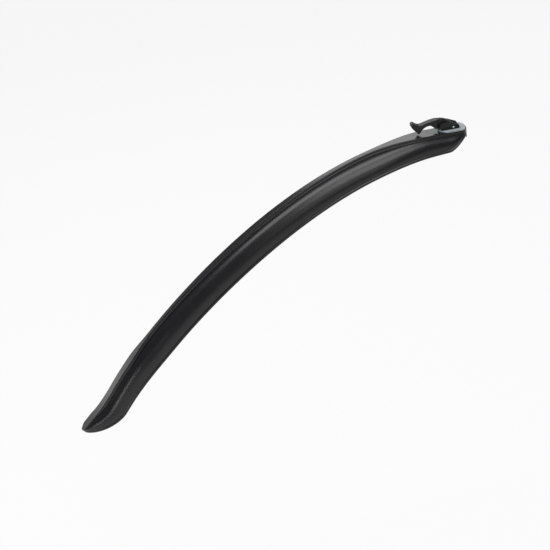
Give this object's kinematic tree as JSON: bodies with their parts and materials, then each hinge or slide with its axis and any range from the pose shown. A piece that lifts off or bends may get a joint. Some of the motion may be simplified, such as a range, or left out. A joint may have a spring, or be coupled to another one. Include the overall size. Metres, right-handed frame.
{
  "type": "bicycle mudguard",
  "caption": "Clip-on bicycle mudguard: curved half-round blade with a raised rib, rounded tail, soft pad and a small pivoting clamp lever at the mount end.",
  "frame": {"origin": "front of the blade, on its middle plane, level with the deck that carries the pad", "axes": "+X out of the mount end, +Z square to the deck, +Y across the blade; the blade curves down towards -X"},
  "size_m": [0.4664, 0.046, 0.2995],
  "materials": {
    "blade": "black satin moulded plastic",
    "pad": "light grey matt elastomer",
    "bracket": "black moulded plastic",
    "lever": "black moulded plastic",
    "pin": "bright steel",
    "screws": "zinc plated steel"
  },
  "bodies": {
    "guard": {"blade": "blade", "grip_pad": "pad", "lever_bracket": "bracket", "pivot_pin": "pin", "bracket_screws": "screws"},
    "lever": {"clamp_lever": "lever"}
  },
  "joints": [
    {"name": "lever_pivot", "type": "hinge", "parent": "guard", "child": "lever", "pos_m": [-0.015, 0, 0.0041], "axis": [0, 1, 0], "range_deg": [0, 90]}
  ]
}
